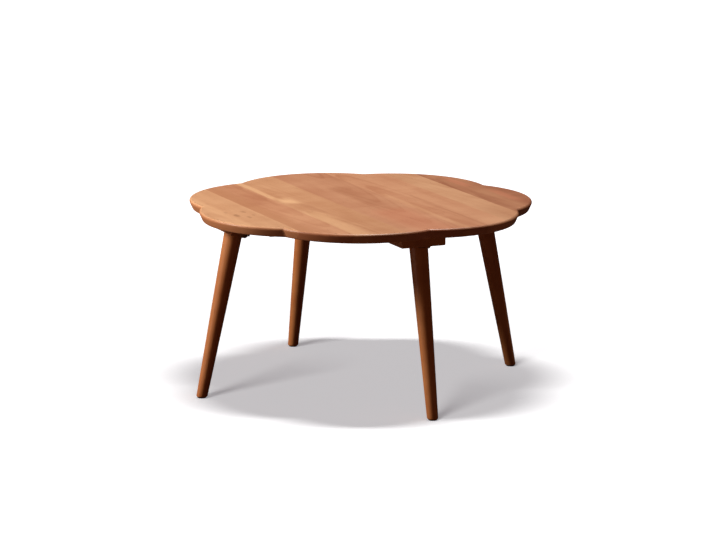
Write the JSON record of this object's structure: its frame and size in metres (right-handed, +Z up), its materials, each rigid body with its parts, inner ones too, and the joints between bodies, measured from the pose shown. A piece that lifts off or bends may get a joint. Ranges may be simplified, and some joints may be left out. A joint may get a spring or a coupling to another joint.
{
  "type": "folding low table",
  "caption": "Low round table with a flower-shaped wooden top on splayed tapered legs that fold flat beneath it on sprung steel hinges.",
  "frame": {"origin": "on the floor under the centre of the top", "axes": "+Z up; +Y along the grain of the boards, from the front leg, which stands behind a notch of the rim, to the back leg, which stands behind a lobe; +X to the right leg"},
  "size_m": [0.8114, 0.8114, 0.425],
  "materials": {
    "top wood": "satin oiled hardwood boards, glued edge to edge",
    "leg wood": "satin oiled hardwood, turned",
    "frame wood": "satin oiled hardwood, planed",
    "plated steel": "mild steel plated in a dark bronze tone",
    "spring steel": "blued spring steel",
    "felt": "pressed brown felt"
  },
  "bodies": {
    "tabletop": {"top_board_1": "top wood", "top_board_2": "top wood", "top_board_3": "top wood", "top_board_4": "top wood", "top_board_5": "top wood", "top_board_6": "top wood", "top_board_7": "top wood", "near_batten": "frame wood", "far_batten": "frame wood", "front_cleat": "frame wood", "front_hinge_plate": "plated steel", "front_hinge_pin": "plated steel", "front_catch_spring": "spring steel", "right_cleat": "frame wood", "right_hinge_plate": "plated steel", "right_hinge_pin": "plated steel", "right_catch_spring": "spring steel", "back_cleat": "frame wood", "back_hinge_plate": "plated steel", "back_hinge_pin": "plated steel", "back_catch_spring": "spring steel", "left_cleat": "frame wood", "left_hinge_plate": "plated steel", "left_hinge_pin": "plated steel", "left_catch_spring": "spring steel", "cleat_screws": "plated steel", "hinge_screws": "plated steel", "batten_screws": "plated steel", "catch_rivets": "plated steel"},
    "front_leg_unit": {"front_leg": "leg wood", "front_leg_plate": "plated steel", "front_leg_screws": "plated steel", "front_foot_pad": "felt"},
    "right_leg_unit": {"right_leg": "leg wood", "right_leg_plate": "plated steel", "right_leg_screws": "plated steel", "right_foot_pad": "felt"},
    "back_leg_unit": {"back_leg": "leg wood", "back_leg_plate": "plated steel", "back_leg_screws": "plated steel", "back_foot_pad": "felt"},
    "left_leg_unit": {"left_leg": "leg wood", "left_leg_plate": "plated steel", "left_leg_screws": "plated steel", "left_foot_pad": "felt"}
  },
  "joints": [
    {"name": "front_leg_fold", "type": "hinge", "parent": "tabletop", "child": "front_leg_unit", "pos_m": [0.02051, -0.29349, 0.374], "axis": [0.7071, -0.7071, 0], "range_deg": [0, 98.5], "deforming": ["front_catch_spring"]},
    {"name": "right_leg_fold", "type": "hinge", "parent": "tabletop", "child": "right_leg_unit", "pos_m": [0.29349, 0.02051, 0.374], "axis": [0.7071, 0.7071, 0], "range_deg": [0, 98.5], "deforming": ["right_catch_spring"]},
    {"name": "back_leg_fold", "type": "hinge", "parent": "tabletop", "child": "back_leg_unit", "pos_m": [-0.02051, 0.29349, 0.374], "axis": [-0.7071, 0.7071, 0], "range_deg": [0, 98.5], "deforming": ["back_catch_spring"]},
    {"name": "left_leg_fold", "type": "hinge", "parent": "tabletop", "child": "left_leg_unit", "pos_m": [-0.29349, -0.02051, 0.374], "axis": [-0.7071, -0.7071, 0], "range_deg": [0, 98.5], "deforming": ["left_catch_spring"]}
  ]
}
